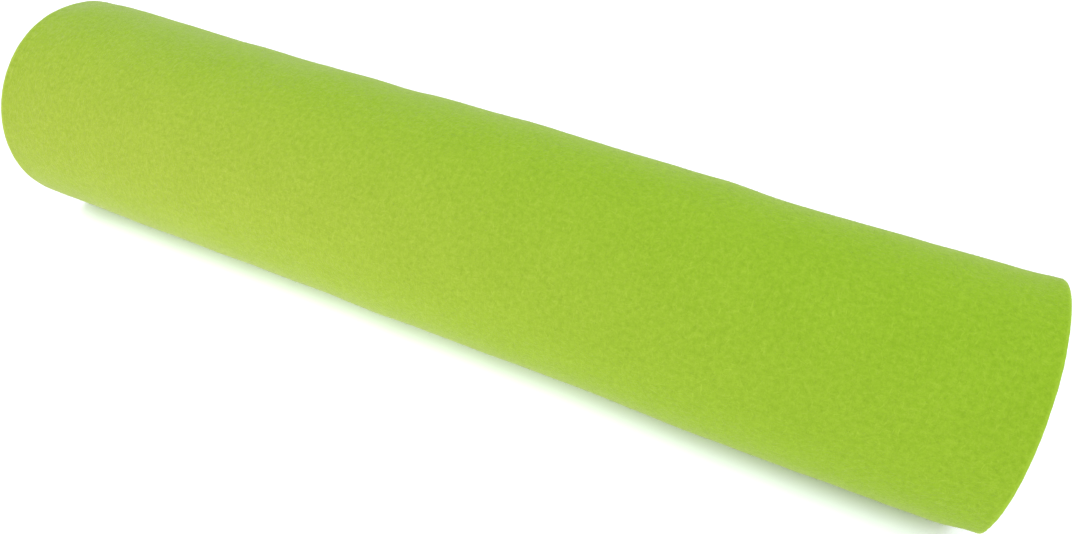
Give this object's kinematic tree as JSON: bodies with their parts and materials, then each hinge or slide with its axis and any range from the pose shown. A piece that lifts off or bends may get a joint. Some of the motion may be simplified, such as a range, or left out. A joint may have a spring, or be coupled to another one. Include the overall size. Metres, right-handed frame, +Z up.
{
  "type": "roll of felt",
  "caption": "Lime-green craft felt wound into a coreless roll with an open eye, lying on its side on a narrow flat spot.",
  "frame": {"origin": "on the surface that the roll lies on, under the middle of its box", "axes": "+X along the roll towards the end that is nearer in the picture, +Z up, -Y towards the side that faces the camera"},
  "size_m": [0.4522, 0.1026, 0.1006],
  "materials": {
    "lime_felt": "dull, fibrous, unwoven"
  },
  "bodies": {
    "root": {"felt_roll": "lime_felt"}
  },
  "joints": []
}
